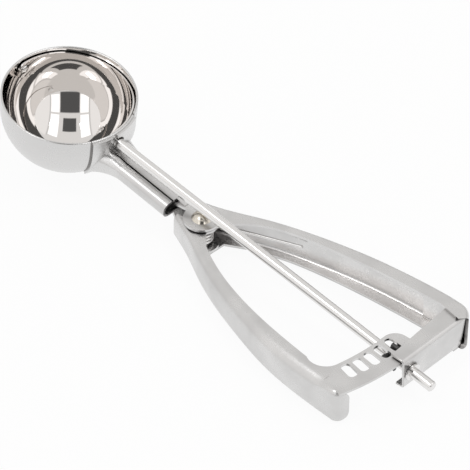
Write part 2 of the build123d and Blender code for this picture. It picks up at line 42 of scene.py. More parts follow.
# where things stand, in millimetres of the CAD frame
site = {
    "hingeX": -9.0,          # the hinge's upright axis
    "bowlX": -76.9,          # the bowl's centre
    "bowlZ": 25.0,
    "rodSlope": 5.5,         # degrees, the rod falls to the tail
    "toothReach": 93.5,      # hinge to the tooth in mesh, level
    "bracketRear": 169.986,  # bowl's centre to the bracket's rear face, along the rod
    "plateTop": 13.702,      # the fork's top plate at the hinge
    "sheet": 1.0,            # the handles' steel
}
slope = math.radians(site["rodSlope"])
bowlCentre = np.array([site["bowlX"], 0, site["bowlZ"]])
hingeFoot = np.array([site["hingeX"], 0, 0])
rodWay = np.array([math.cos(slope), 0, -math.sin(slope)])
rimWay = np.array([math.sin(slope), 0, math.cos(slope)])
sideWay = np.array([0.0, 1, 0])
tailWay = np.array([1.0, 0, 0])
upWay = np.array([0.0, 0, 1])


# shader helpers


class Wire:
    # a socket in a sum or product: every operator adds one Math node
    def __init__(self, bench, socket):
        self.bench = bench
        self.socket = socket

    def __add__(self, other):
        return self.bench.math("ADD", self, other)

    def __radd__(self, other):
        return self.bench.math("ADD", other, self)

    def __sub__(self, other):
        return self.bench.math("SUBTRACT", self, other)

    def __rsub__(self, other):
        return self.bench.math("SUBTRACT", other, self)

    def __mul__(self, other):
        return self.bench.math("MULTIPLY", self, other)

    def __rmul__(self, other):
        return self.bench.math("MULTIPLY", other, self)

    def __truediv__(self, other):
        return self.bench.math("DIVIDE", self, other)

    def __abs__(self):
        return self.bench.math("ABSOLUTE", self, 0.0)


class Bench:
    # builds the nodes of one tree
    def __init__(self, tree):
        self.tree = tree

    def node(self, kind, settings=None, values=None, out=0):
        # settings first, a ramp's stops among them, then each socket's value or link
        made = self.tree.nodes.new(kind)
        for name, value in (settings or {}).items():
            if name == "stops":
                ramp = made.color_ramp.elements
                while len(ramp) < len(value):
                    ramp.new(0.5)
                for stop, (position, tone) in zip(ramp, value):
                    stop.position = position
                    stop.color = (tone, tone, tone, 1)
            else:
                setattr(made, name, value)
        for name, value in (values or {}).items():
            if isinstance(value, Wire):
                self.tree.links.new(value.socket, made.inputs[name])
            else:
                made.inputs[name].default_value = value
        return Wire(self, made.outputs[out])

    def math(self, operation, first, second):
        # first and second joined by the operation
        return self.node("ShaderNodeMath", {"operation": operation}, {0: first, 1: second})

    def blend(self, share, first, second):
        # colour: (1 - share) * first + share * second
        return self.node("ShaderNodeMix", {"data_type": "RGBA"}, {0: share, 6: first, 7: second}, out=2)

    def noise(self, place, scale, detail):
        # soft random tone, about scale blotches to the metre
        return self.node("ShaderNodeTexNoise", None, {"Vector": place, "Scale": scale, "Detail": detail})

    def stretched(self, place, sizes, turn=0.0):
        # the place times sizes, turned about the upright axis
        return self.node("ShaderNodeMapping", None, {"Vector": place, "Scale": sizes,
                                                     "Rotation": (0, 0, turn)})

    def ramp(self, share, *stops):
        # straight from stop to stop, each a position and a tone
        return self.node("ShaderNodeValToRGB", {"stops": stops}, {"Fac": share})

    def between(self, value, low, high, soft):
        # 1 where value lies between low and high, else 0, with edges 2 * soft wide
        rise, fall = [self.node("ShaderNodeMapRange", {"interpolation_type": "SMOOTHSTEP"},
                                {0: value, 1: limit - soft, 2: limit + soft}) for limit in (low, high)]
        return rise - fall

    def dot(self, first, second):
        # how far first reaches along second
        return self.node("ShaderNodeVectorMath", {"operation": "DOT_PRODUCT"}, {0: first, 1: second}, out=1)


def newMaterial(name):
    # an empty finish: its bench, its surface and the place on the piece in metres
    material = bpy.data.materials.new(name)
    material.use_nodes = True
    bench = Bench(material.node_tree)
    surface = material.node_tree.nodes["Principled BSDF"]
    place = bench.node("ShaderNodeTexCoord", out=3)
    return material, bench, surface, place


def fit(bench, surface, **sockets):
    # links a wire or sets a plain value on the surface
    for name, value in sockets.items():
        socket = surface.inputs[name.replace("_", " ")]
        if isinstance(value, Wire):
            bench.tree.links.new(value.socket, socket)
        else:
            socket.default_value = value


# satin sheet of the handles
satinLook = {
    "light": (0.715, 0.71, 0.705, 1),
    "shade": (0.58, 0.575, 0.57, 1),
    # painted shade: a dark tone laid into corners by an occlusion mask, and into the seam beside the saddle
    "paintedShade": (0.20, 0.19, 0.185, 1),
    "paintedShadeReach": 0.0025,            # metres to a wall that darkens a corner
    "paintedShadeShare": 0.6,
    # painted reflection: a bright warm tone laid on the fixed channel's floor
    "paintedReflection": (0.90, 0.875, 0.86, 1),
    "paintedReflectionHeight": (0.9, 1.4),       # millimetres over the table: the fixed channel's floor
    "paintedReflectionSide": 6.0,                # millimetres from the middle, where it starts
    "paintedReflectionShare": 0.85,
    "roughness": 0.2,
    "blotchScale": 70.0,
    "grainScale": 800.0,
    "grainStretch": (1, 7, 7),
    "hairScale": 160.0,
    "hairStretch": (30, 1, 1),
    "hairTurn": 0.9,
    "bump": 0.22,
    "bumpReach": 0.00015,             # metres
}


def satinSteel():
    # tumbled sheet: tone = light to shade by soft blotches, with painted shade in corners and a painted
    # reflection on the fixed channel's floor; height = blotches + fine grain along the handles - crossing
    # hairs
    look = satinLook
    material, bench, surface, place = newMaterial("satinSteel")
    blotch = bench.noise(place, look["blotchScale"], 5.0)
    grain = bench.noise(bench.stretched(place, look["grainStretch"]), look["grainScale"], 2.0)
    hairs = bench.noise(bench.stretched(place, look["hairStretch"], look["hairTurn"]), look["hairScale"], 2.0)
    hairs = bench.between(hairs, 0.485, 0.515, 0.012)
    shade = bench.ramp(blotch, (0.35, 0.0), (0.78, 1.0))
    # painted shade: the occlusion mask darkens the tone in corners and creases
    openness = bench.node("ShaderNodeAmbientOcclusion", {"samples": 8},
                          {"Distance": look["paintedShadeReach"]}, out=1)
    paintedShade = 1 - bench.ramp(openness, (0.15, 0.0), (0.85, 1.0))
    # painted reflection: the fixed channel's floor, found by height and side, is made bright
    paintedReflection = (bench.between(bench.dot(place, (0, 0, 1000)), *look["paintedReflectionHeight"], 0.08)
              * bench.between(bench.dot(place, (0, 1000, 0)), look["paintedReflectionSide"], 99.0, 2.0))
    tone = bench.blend(shade, look["light"], look["shade"])
    tone = bench.blend(look["paintedShadeShare"] * paintedShade * (1 - 0.7 * paintedReflection), tone, look["paintedShade"])
    tone = bench.blend(look["paintedReflectionShare"] * paintedReflection, tone, look["paintedReflection"])
    height = blotch * 0.5 + grain * 0.12 - hairs * 0.05
    bump = bench.node("ShaderNodeBump", None, {"Strength": look["bump"], "Distance": look["bumpReach"],
                                               "Height": height})
    fit(bench, surface, Base_Color=tone, Metallic=1.0, Normal=bump,
        Roughness=look["roughness"] + 0.12 * blotch + 0.04 * grain)
    return material


bowlLook = {
    "inside": (0.80, 0.775, 0.755, 1),
    "outside": (0.68, 0.675, 0.67, 1),
    "insideRoughness": 0.03,
    "outsideRoughness": 0.2,
    "halfWall": 24.6,              # millimetres from the centre, in the middle of the wall
    # painted shade: a dark line on the outside along the saddle's edge
    "paintedSeamShade": (0.456, 0.492),     # side over along, beside the saddle's edge
    "paintedSeamShadeShare": 0.85,
}


def bowlSteel():
    # mirror inside, soft satin outside: told apart by the distance from the bowl's centre;
    # painted shade beside the saddle's edge is where |side| / along the rod lies in a narrow range
    look = bowlLook
    material, bench, surface, place = newMaterial("bowlSteel")
    centre = tuple(bowlCentre * mm)
    away = bench.node("ShaderNodeVectorMath", {"operation": "DISTANCE"}, {0: place, 1: centre}, out=1)
    out = bench.node("ShaderNodeVectorMath", {"operation": "SUBTRACT"}, {0: place, 1: centre})
    outside = bench.between(away * 1000.0, look["halfWall"], 99.0, 0.15)
    turn = abs(bench.dot(out, tuple(sideWay))) / bench.dot(out, tuple(rodWay))
    # painted shade laid on the outside where the saddle's edge meets the bowl
    paintedSeamShade = outside * bench.between(turn, *look["paintedSeamShade"], 0.006)
    blotch = bench.noise(place, 90.0, 4.0)
    tone = bench.blend(outside, look["inside"], look["outside"])
    tone = bench.blend(look["paintedSeamShadeShare"] * paintedSeamShade, tone, satinLook["paintedShade"])
    fit(bench, surface, Base_Color=tone, Metallic=1.0, Roughness=look["insideRoughness"]
        + outside * (look["outsideRoughness"] + 0.08 * blotch) + 0.02 * blotch)
    return material


def polishedSteel(name, tone, roughness):
    # one tone, with roughness + fine turning lines
    material, bench, surface, place = newMaterial(name)
    lines = bench.noise(bench.stretched(place, (0.5, 8, 8)), 700.0, 2.0)
    fit(bench, surface, Base_Color=tone, Metallic=1.0, Roughness=roughness + 0.06 * lines)
    return material


def edgeSteel(dull, bright):
    # cut edges, tumbled bright: dull to bright by the wear
    material, bench, surface, place = newMaterial("edgeSteel")
    wear = bench.noise(place, 400.0, 2.0)
    tone = bench.blend(wear, dull, bright)
    fit(bench, surface, Base_Color=tone, Metallic=1.0, Roughness=0.08 + 0.12 * wear)
    return material


satin = satinSteel()
edgeFinish = edgeSteel((0.50, 0.49, 0.48, 1), (0.66, 0.65, 0.64, 1))
bowlFinish = bowlSteel()
rodFinish = polishedSteel("rodSteel", (0.80, 0.79, 0.78, 1), 0.10)
# near-black pinion: painted shade for teeth that sit in shadow inside the bracket
pinionShadeFinish = polishedSteel("pinionPaintedShade", (0.10, 0.10, 0.10, 1), 0.38)
rivetFinish = polishedSteel("rivetNickel", (0.70, 0.655, 0.58, 1), 0.14)
print("materials done")


# mesh helpers


weld = {"grid": 1e-7, "cad": 2e-6}    # metres between points that become one
sharpAngle = 35.0                     # degrees


def addPiece(name, mesh):
    # an object at the origin that shows the mesh
    piece = bpy.data.objects.new(name, mesh)
    bpy.context.collection.objects.link(piece)
    return piece


def gridPiece(name, points, loopRows=False, loopColumns=False):
    # faces between the neighbours of a rows x columns grid of points in millimetres;
    # a looped direction meets itself, and rows shrunk to a point become poles
    rows, columns = points.shape[:2]
    index = np.arange(rows * columns).reshape(rows, columns)
    if loopRows:
        index = np.vstack([index, index[:1]])
    if loopColumns:
        index = np.hstack([index, index[:, :1]])
    quads = np.stack([index[:-1, :-1], index[1:, :-1], index[1:, 1:], index[:-1, 1:]], -1).reshape(-1, 4)
    mesh = bpy.data.meshes.new(name)
    mesh.from_pydata((points.reshape(-1, 3) * mm).tolist(), [], quads.tolist())
    work = bmesh.new()
    work.from_mesh(mesh)
    bmesh.ops.remove_doubles(work, verts=work.verts, dist=weld["grid"])
    bmesh.ops.recalc_face_normals(work, faces=work.faces)
    work.to_mesh(mesh)
    work.free()
    return addPiece(name, mesh)


def softCorners(points, reach, steps=4):
    # every corner p of an outline becomes (1-t)^2 a + 2t(1-t) p + t^2 b, where a and b lie
    # reach away from p on its two edges; the first and last points stay
    points = np.asarray(points, float)
    before, corner, after = points[:-2, None], points[1:-1, None], points[2:, None]
    back, ahead = before - corner, after - corner
    backSize = np.linalg.norm(back, axis=-1, keepdims=True)
    aheadSize = np.linalg.norm(ahead, axis=-1, keepdims=True)
    near = np.minimum(reach, 0.45 * np.minimum(backSize, aheadSize))
    t = np.linspace(0, 1, steps + 1)[None, :, None]
    curve = ((1 - t) ** 2 * (corner + back / backSize * near) + 2 * t * (1 - t) * corner
             + t ** 2 * (corner + ahead / aheadSize * near))
    return np.vstack([points[:1], curve.reshape(-1, points.shape[1]), points[-1:]])


def turned(name, outline, foot, axis, steps=96, closed=False):
    # lathe: foot + height * axis + radius * (cos t * side + sin t * third), t once round;
    # the outline is radius and height, from axis to axis, or closed in itself
    outline = np.asarray(outline, float)
    axis = np.asarray(axis, float)
    side = np.cross(axis, sideWay)
    side = side / np.linalg.norm(side)
    third = np.cross(axis, side)
    t = np.linspace(0, 2 * np.pi, steps, endpoint=False)[None, :, None]
    radius, height = outline[:, 0, None, None], outline[:, 1, None, None]
    points = np.asarray(foot) + height * axis + radius * (np.cos(t) * side + np.sin(t) * third)
    return gridPiece(name, points, loopRows=closed, loopColumns=True)


def mergedCopy(name, node):
    # a CAD node's loose triangles, welded into one skin
    work = bmesh.new()
    work.from_mesh(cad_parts[node].data)
    bmesh.ops.remove_doubles(work, verts=work.verts, dist=weld["cad"])
    mesh = bpy.data.meshes.new(name)
    work.to_mesh(mesh)
    work.free()
    return addPiece(name, mesh)


def prism(name, outline, hub, span, base, ways):
    # base + a * across + b * up + t * along for the outline's points (a, b), with t over the
    # span; both ends are closed by a fan from the hub
    outline = np.asarray(outline, float)
    across, up, along = ways
    ends = np.broadcast_to(hub, outline.shape)
    flat = np.stack([ends, outline, outline, ends])
    length = np.repeat(np.asarray(span, float), 2)[:, None, None]
    points = base + flat[..., :1] * across + flat[..., 1:] * up + length * along
    return gridPiece(name, points, loopColumns=True)


def cutAway(piece, cutters):
    # takes each cutter's space out of the piece, then drops the cutter
    for cutter in cutters:
        cut = piece.modifiers.new("cut", "BOOLEAN")
        cut.operation = "DIFFERENCE"
        cut.solver = "EXACT"
        cut.object = cutter
        bpy.context.view_layer.update()
        solid = piece.evaluated_get(bpy.context.evaluated_depsgraph_get())
        carved = bpy.data.meshes.new_from_object(solid)
        piece.modifiers.clear()
        piece.data = carved
        bpy.data.objects.remove(cutter)


def arc(centre, radius, first, last, steps=16):
    # centre + radius * (cos t, sin t), t in degrees
    t = np.radians(np.linspace(first, last, steps))[:, None]
    return np.asarray(centre) + radius * np.hstack([np.cos(t), np.sin(t)])


def softEdges(piece, width):
    # rounds the sharp edges, which take the finish of cut edges
    bevel = piece.modifiers.new("softEdges", "BEVEL")
    bevel.width = width * mm
    bevel.segments = 2
    bevel.limit_method = "ANGLE"
    bevel.angle_limit = math.radians(sharpAngle)
    bevel.use_clamp_overlap = True
    piece.data.materials.clear()
    piece.data.materials.append(satin)
    piece.data.materials.append(edgeFinish)
    bevel.material = 1


def dress(piece, finish, body, node, slot, angle=sharpAngle):
    # smooth shading where two faces meet at less than angle, the finish, and what the piece stands for
    mesh = piece.data
    if mesh.materials:
        mesh.materials[0] = finish
    else:
        mesh.materials.append(finish)
    mesh.polygons.foreach_set("use_smooth", np.ones(len(mesh.polygons), bool))
    work = bmesh.new()
    work.from_mesh(mesh)
    for edge in work.edges:
        edge.smooth = len(edge.link_faces) == 2 and edge.calc_face_angle(0) < math.radians(angle)
    work.to_mesh(mesh)
    work.free()
    weighted = piece.modifiers.new("flatShading", "WEIGHTED_NORMAL")
    weighted.keep_sharp = True
    weighted.weight = 80
    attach(piece, body)
    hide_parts(node)


# bowl
bowl = {"radius": 25.0, "wall": 0.9, "collar": 4.8, "softAngle": 50}


def makeBowl():
    # outline: outer quarter circle, straight collar, half round lip, inner quarter circle,
    # turned about the rim's axis
    inner = bowl["radius"] - bowl["wall"]
    lip = bowl["wall"] / 2
    outline = np.vstack([arc((0, 0), bowl["radius"], -90, 0, 72),
                         arc((inner + lip, bowl["collar"] - lip), lip, 0, 180, 11),
                         arc((0, 0), inner, 0, -90, 72)])
    outline[0, 0] = outline[-1, 0] = 0
    shell = turned("bowlShell", outline, bowlCentre, rimWay, 192)
    dress(shell, bowlFinish, "scoop", "bowl", "mirror_steel", bowl["softAngle"])


makeBowl()

# scraper
scraper = {
    "outer": 23.8,
    "inner": 23.2,
    "halfWidth": 4.75,
    "halfEnd": 3.5,       # radius of the round ends
    "taper": 14.0,        # height over which it reaches its full width
    "lean": -6.75,        # degrees from the rim's plane
    "endShare": 0.08,     # of its length, with closer rows for the round ends
}


def makeScraper():
    # band on a sphere: x = r cos p along the rod, r sin p outwards and s = v * h across, with
    # r^2 = R^2 - s^2; h is a half circle at the ends, then widens evenly to the full width
    end, share = scraper["halfEnd"], scraper["endShare"]
    sweep = math.asin(end / scraper["outer"])
    close = (1 - np.cos(np.linspace(0, np.pi / 2, 12))) * share
    u = np.concatenate([close, np.linspace(share, 1 - share, 90)[1:-1], 1 - close[::-1]])
    p = (-sweep + u * (np.pi + 2 * sweep))[:, None]
    out = scraper["outer"] * np.sin(p)
    wide = end + (scraper["halfWidth"] - end) * np.clip(out / scraper["taper"], 0, 1)
    rounded = np.sqrt(np.clip(end ** 2 - np.minimum(out, 0) ** 2, 0, None))
    h = np.where(out < 0, rounded, wide)
    h[0] = h[-1] = 0
    v = np.linspace(-1, 1, 15)[None, :]
    lean = math.radians(scraper["lean"])
    outWay = math.cos(lean) * sideWay + math.sin(lean) * rimWay
    acrossWay = np.cross(rodWay, outWay)
    faces = []
    for radius, way in ((scraper["outer"], 1), (scraper["inner"], -1)):
        s = (v * h)[:, ::way]
        r = np.sqrt(radius ** 2 - s ** 2)
        faces.append(bowlCentre + (r * np.cos(p))[..., None] * rodWay + (r * np.sin(p))[..., None] * outWay
                     + s[..., None] * acrossWay)
    band = gridPiece("scraperBand", np.concatenate(faces, 1), loopColumns=True)
    dress(band, bowlFinish, "rotor", "scraper_band", "mirror_steel", bowl["softAngle"])


makeScraper()

# rod, with its riveted end in the scraper and the ring's groove at the tail;
# heights are distances from the bowl's centre
rod = {
    "radius": 2.0,
    "end": 180.287,
    "groove": 170.486,
    "grooveWidth": 0.6,
    "grooveDepth": 0.5,
    "spigot": 1.4,           # radius in the scraper's hole
    "headRadius": 2.3,
    "headFlat": 1.7,
    "headTop": 22.4,
    "headRim": 22.75,
    "headSink": 0.12,        # the head's seat inside the band
    "chamfer": (0.5, 0.45),  # across and along, at the tail
    "softness": 0.15,
}


def makeRod():
    # lathe of the rod's outline: head, spigot, shoulder, groove and chamfered tail
    outer, groove, end = rod["radius"], rod["groove"], rod["end"]
    head, top, spigot, shoulder = rod["headRadius"], rod["headTop"], rod["spigot"], scraper["outer"]
    seat = scraper["inner"] - rod["headSink"]
    grooveEnd = groove + rod["grooveWidth"]
    core = outer - rod["grooveDepth"]
    across, along = rod["chamfer"]
    outline = [(0, top), (rod["headFlat"], top), (head, rod["headRim"]), (head, seat), (spigot, seat),
               (spigot, shoulder), (outer, shoulder), (outer, groove), (core, groove), (core, grooveEnd),
               (outer, grooveEnd), (outer, end - along), (outer - across, end), (0, end)]
    outline = softCorners(outline, rod["softness"])
    piece = turned("driveRod", outline, bowlCentre, rodWay, 64)
    dress(piece, rodFinish, "rotor", "drive_rod", "polished_steel")


makeRod()

# rivets
rivets = {
    "hingeHead": (3.8, 2.0),     # radius and height of the dome
    "hingeShank": 1.9,
    "hingeFoot": 2.9,            # radius of the countersunk end
    "scraperHead": (1.9, 0.8),
    "scraperShank": 1.0,
    "scraperGap": 0.1,           # inside the band
}


def dome(radius, height, steps=14):
    # spherical cap: radius * sin and height of a circle of curve R = (r^2 + h^2) / 2h, from rim to top
    curve = (radius ** 2 + height ** 2) / (2 * height)
    t = np.linspace(math.asin(radius / curve), 0, steps)[:, None]
    return np.hstack([curve * np.sin(t), curve * np.cos(t) - curve + height])


def makeRivets():
    # lathes: countersunk foot, shank and dome at the hinge; dome, shank and dome in the bowl's front
    top, shank = site["plateTop"], rivets["hingeShank"]
    outline = np.vstack([[(0, 0), (rivets["hingeFoot"], 0), (shank, site["sheet"]), (shank, top)],
                         dome(*rivets["hingeHead"]) + (0, top)])
    outline[-1, 0] = 0
    dress(turned("hingeRivet", outline, hingeFoot, upWay), rivetFinish,
          "scoop", "hinge_rivet", "nickel_rivet")
    cap, shank, front = dome(*rivets["scraperHead"]), rivets["scraperShank"], -bowl["radius"]
    seat = rivets["scraperGap"] - math.sqrt(scraper["inner"] ** 2 - rivets["scraperHead"][0] ** 2)
    outline = np.vstack([cap[::-1] * (1, -1) + (0, front), [(shank, front), (shank, seat)], cap + (0, seat)])
    outline[0, 0] = outline[-1, 0] = 0
    dress(turned("scraperRivet", outline, bowlCentre, rodWay, 48), rodFinish,
          "scoop", "scraper_rivet", "polished_steel")


makeRivets()

# bush and washers: inner and outer radius, foot and top
plateUnder = site["plateTop"] - site["sheet"]
washerFoot = site["bracketRear"] + 0.1
sleeves = {
    "hingeBush": (1.9, 2.8, site["sheet"], plateUnder),
    "upperWasher": (2.85, 4.6, plateUnder - 0.5, plateUnder),
    "lowerWasher": (2.85, 4.6, site["sheet"], 1.3),
    "rodWasher": (2.0, 3.0, washerFoot, washerFoot + 0.4),
    "softness": 0.1,
}


def sleeve(name, foot, axis, steps):
    # lathe of a closed rectangle with soft corners
    inner, outer, low, high = sleeves[name]
    start = ((inner + outer) / 2, low)
    loop = softCorners([start, (outer, low), (outer, high), (inner, high), (inner, low), start],
                       sleeves["softness"])
    return turned(name, loop[:-1], foot, axis, steps, True)


for name, node in (("hingeBush", "hinge_bush"), ("upperWasher", "upper_hinge_washer"),
                   ("lowerWasher", "lower_hinge_washer")):
    dress(sleeve(name, hingeFoot, upWay, 64), rodFinish, "scoop", node, "polished_steel")
dress(sleeve("rodWasher", bowlCentre, rodWay, 48), rodFinish, "rotor", "rod_washer", "dark_steel")

# return spring: its lower leg goes with the squeezed handle
spring = {
    "wire": 0.55,        # radius
    "coil": 3.75,
    "low": 3.35,
    "rise": 5.05,
    "start": 246.0,      # degrees
    "turn": -1212.0,
    "leg": 24.0,         # degrees from the handles' middle
    "legLength": 37.0,
    "tipShare": 0.004,   # of the coil, in the close points at its end
    "innerShare": 0.06,  # of the coil, made again for the lower wire
}


def tube(name, path, radius, steps=14):
    # path + radius * (cos t * level + sin t * over), both square to the path, with rounded ends
    way = np.gradient(path, axis=0)
    way /= np.linalg.norm(way, axis=1, keepdims=True)
    level = np.cross(way, upWay)
    level /= np.linalg.norm(level, axis=1, keepdims=True)
    over = np.cross(level, way)
    cap = np.sin(np.linspace(0, np.pi / 2, 5))
    size = np.concatenate([cap, np.ones(len(path) - 2 * len(cap)), cap[::-1]]) * radius
    t = np.linspace(0, 2 * np.pi, steps, endpoint=False)[None, :, None]
    ring = np.cos(t) * level[:, None] + np.sin(t) * over[:, None]
    return gridPiece(name, path[:, None] + size[:, None, None] * ring, loopColumns=True)


def coilPoint(share):
    # helix: the coil turns clockwise as it climbs, evenly with share
    turn = np.radians(spring["start"] + spring["turn"] * share)
    return np.stack([site["hingeX"] + spring["coil"] * np.cos(turn), spring["coil"] * np.sin(turn),
                     spring["low"] + spring["rise"] * share], -1)


def legPoints(root, side):
    # straight run from the root, with close points near its tip for the rounded end
    lean = math.radians(spring["leg"])
    near = np.linspace(0, 1, 5) ** 2 * 0.5
    far = np.concatenate([np.linspace(1.2, spring["legLength"] - 0.6, 24),
                          spring["legLength"] - near[::-1]])[:, None]
    return root + far * np.array([math.cos(lean), side * math.sin(lean), 0])


def makeSpring():
    # two wires, each with five close points at its rounded end: the whole coil with the upper leg,
    # and the coil's first stretch again, from the inside out, with the lower leg
    tip, inner = spring["tipShare"], spring["innerShare"]
    coil = coilPoint(np.concatenate([np.linspace(0, tip, 5), np.linspace(2 * tip, 1, 180)]))
    upper = tube("returnSpringCoil", np.vstack([coil, legPoints(coil[-1], 1)]), spring["wire"])
    dress(upper, rodFinish, "scoop", "return_spring", "spring_steel", 60)
    start = coilPoint(np.concatenate([np.linspace(inner, inner - tip, 5),
                                      np.linspace(inner - 2.5 * tip, 0, 12)]))
    lower = tube("returnSpringLeg", np.vstack([start, legPoints(start[-1], -1)]), spring["wire"])
    dress(lower, rodFinish, "squeeze_handle", "return_spring", "spring_steel", 60)


makeSpring()

# squeezed handle; places are behind the hinge, aside and up
squeezed = {
    "rootCentre": (78.19, -18.41),   # the hollow corner between the handle and its strip
    "rootRadius": 7.0,
    "rootSpan": (8, 20),             # heights that the corner's cut goes through
    "tail": 96.2,
    "opening": -25.6,                # the nose wall's free edge
    "noseCorner": 4.0,
    "noseTop": 13.8,
    "noseSpan": (-1.2, 0.6),         # the nose's cuts, from the tail
    "past": 0.6,                     # a cutter's reach past the edge
}


def squeezedCutters():
    # the strip's hollow corner, and what lies outside both rounded corners of the nose's free edge
    size, out, top, past = (squeezed[key] for key in ("noseCorner", "opening", "noseTop", "past"))
    root = squeezed["rootCentre"]
    disc = arc(root, squeezed["rootRadius"], 0, 360, 65)[:-1]
    yield prism("rootCut", disc, root, squeezed["rootSpan"], hingeFoot, (tailWay, sideWay, upWay))
    span = np.array(squeezed["noseSpan"]) + squeezed["tail"]
    ways = (sideWay, upWay, tailWay)
    low = np.vstack([arc((out - size, size), size, -90, 0),
                     [(out + past, size), (out + past, -past), (out - size, -past)]])
    yield prism("noseLowCut", low, (out + past / 2, -past / 2), span, hingeFoot, ways)
    high = np.vstack([arc((out - size, top - size), size, 0, 90),
                      [(out + past, top), (out + past, top - size)]])
    yield prism("noseHighCut", high, (out + past / 2, top - 0.1), span, hingeFoot, ways)


# the fold between the squeezed handle's web and its top flange
fold = {
    "old": 2.2,
    "new": 5.2,
    "top": 14.76,                                # the flange's height at the tooth in mesh
    "rise": math.tan(math.radians(1.64)),
    "grow": (6.0, 22.0),                         # behind the hinge, where the radius grows
    "fade": (84.0, 93.0),                        # and where it falls back
    "levels": (2.5, 2.9, 3.3, 3.8, 4.4, 5.0),    # depths of the new rows
    "columns": np.arange(4, 93, 1.5),            # behind the hinge
    "deepest": 6,
    "wideEdge": (1.0, 0.8, 1.15),                # an edge over the flange: length, across, depth
    "edgeCuts": 7,
    "rimSlack": 0.06,                            # how near the old fold's rim a point counts
    "rimSpan": (-6, 91),
}


def cutFold(piece):
    # rows at fixed depths under the flange, columns at fixed reaches, and cuts over the flange,
    # so that the widened fold has points enough to be round
    work = bmesh.new()
    work.from_mesh(piece.data)

    def depth(point):
        behind = point.x / mm - site["hingeX"] - site["toothReach"]
        return fold["top"] + behind * fold["rise"] - point.z / mm

    for level in fold["levels"]:
        foot = ((site["hingeX"] + site["toothReach"]) * mm, 0, (fold["top"] - level) * mm)
        bmesh.ops.bisect_plane(work, geom=work.verts[:] + work.edges[:] + work.faces[:], plane_co=foot,
                               plane_no=(-fold["rise"], 0, 1))
    for reach in fold["columns"]:
        near = [face for face in work.faces if depth(face.calc_center_median()) < fold["deepest"]]
        edges = {edge for face in near for edge in face.edges}
        verts = {vert for edge in edges for vert in edge.verts}
        bmesh.ops.bisect_plane(work, geom=[*near, *edges, *verts], plane_no=(1, 0, 0),
                               plane_co=((site["hingeX"] + reach) * mm, 0, 0))
    length, across, deep = fold["wideEdge"]
    wide = [edge for edge in work.edges if edge.calc_length() > length * mm
            and max(depth(v.co) for v in edge.verts) < deep
            and abs(edge.verts[0].co.y - edge.verts[1].co.y) > across * mm]
    bmesh.ops.subdivide_edges(work, edges=wide, cuts=fold["edgeCuts"], use_grid_fill=True)
    bmesh.ops.triangulate(work, faces=[face for face in work.faces if len(face.verts) > 4])
    work.to_mesh(piece.data)
    work.free()


def oldRim(x, y, under):
    # the web's outer line under the old fold, y over x, and how far it leans
    first, last = fold["rimSpan"]
    line = (np.abs(under - fold["old"]) < fold["rimSlack"]) & (x > first) & (x < last)
    middle = np.polyval(np.polyfit(x[line], y[line], 6), x)
    web = line & (y < middle)
    order = np.argsort(x[web])
    lineX, lineY = x[web][order], y[web][order]
    lean = np.arctan2(np.interp(x + 1, lineX, lineY) - np.interp(x - 1, lineX, lineY), 2)
    return np.interp(x, lineX, lineY), lean


def widenFold(piece):
    # the fold gets the wider radius R: seen from the new fold's centre, a point at (a, b) moves
    # along its ray by R / q, where q is the ray's length to the old fold of radius r
    cutFold(piece)
    flat = np.empty(len(piece.data.vertices) * 3)
    piece.data.vertices.foreach_get("co", flat)
    points = flat.reshape(-1, 3) / mm
    x, y, z = points[:, 0] - site["hingeX"], points[:, 1], points[:, 2]
    under = fold["top"] + (x - site["toothReach"]) * fold["rise"] - z
    outer, lean = oldRim(x, y, under)
    new, old = fold["new"], fold["old"]
    core = new - old
    a = new - (y - outer) * np.cos(lean)
    b = new - under
    ray = np.hypot(a, b) + 1e-9
    ca, cb = a / ray, b / ray
    along = (ca + cb) * core
    edge = along + np.sqrt(np.maximum(along ** 2 - 2 * core ** 2 + old ** 2, 0))
    edge = np.where(cb / np.maximum(ca, 1e-6) < core / new, new / np.maximum(ca, 1e-6), edge)
    edge = np.where(ca / np.maximum(cb, 1e-6) < core / new, new / np.maximum(cb, 1e-6), edge)
    growStart, growEnd = fold["grow"]
    fadeStart, fadeEnd = fold["fade"]
    share = (np.clip((x - growStart) / (growEnd - growStart), 0, 1)
             * np.clip((fadeEnd - x) / (fadeEnd - fadeStart), 0, 1))
    inside = (a > 0) & (b > 0) & (x > growStart) & (x < fadeEnd)
    share = np.where(inside, share * share * (3 - 2 * share), 0)
    change = (new / edge - 1) * share
    points[:, 0] += change * a * np.sin(lean)
    points[:, 1] -= change * a * np.cos(lean)
    points[:, 2] += change * b
    piece.data.vertices.foreach_set("co", (points * mm).ravel())
    piece.data.update()


# neck: the saddle's free edge round the rod, which runs on as the seam
neck = {
    "notch": [(-2.1, 6.0), (-2.1, 4.7), (-3.37, 3.74), (-4.14, 2.73), (-4.65, 1.0), (-4.6, -0.6),
              (-4.0, -2.4), (-2.8, -3.5), (-1.6, -3.7), (-0.6, -3.0), (0.4, -2.3), (0.0, 0.0),
              (-0.6, 2.4), (-0.9, 6.0)],
    "notchCorner": 0.8,
    "notchHub": (-2.2, -0.5),
    "notchSpan": (25.04, 28.6),      # from the bowl's centre, along the rod
    "seam": [(26.5, -2.1), (26.5, -2.5), (30.0, -2.45), (34.0, -2.35), (34.0, -1.65), (30.0, -1.85)],
    "seamHub": (30.0, -2.0),
    "seamSpan": (-7.6, -2.0),        # over the rod's axis
}


def neckCutters():
    # the notch is drawn across and up and cut along the rod; the seam is drawn along and across
    notch = softCorners(neck["notch"] + neck["notch"][:1], neck["notchCorner"], 3)[:-1]
    yield prism("notchCut", notch, neck["notchHub"], neck["notchSpan"], bowlCentre,
                (sideWay, rimWay, rodWay))
    yield prism("seamCut", neck["seam"], neck["seamHub"], neck["seamSpan"], bowlCentre,
                (rodWay, sideWay, rimWay))


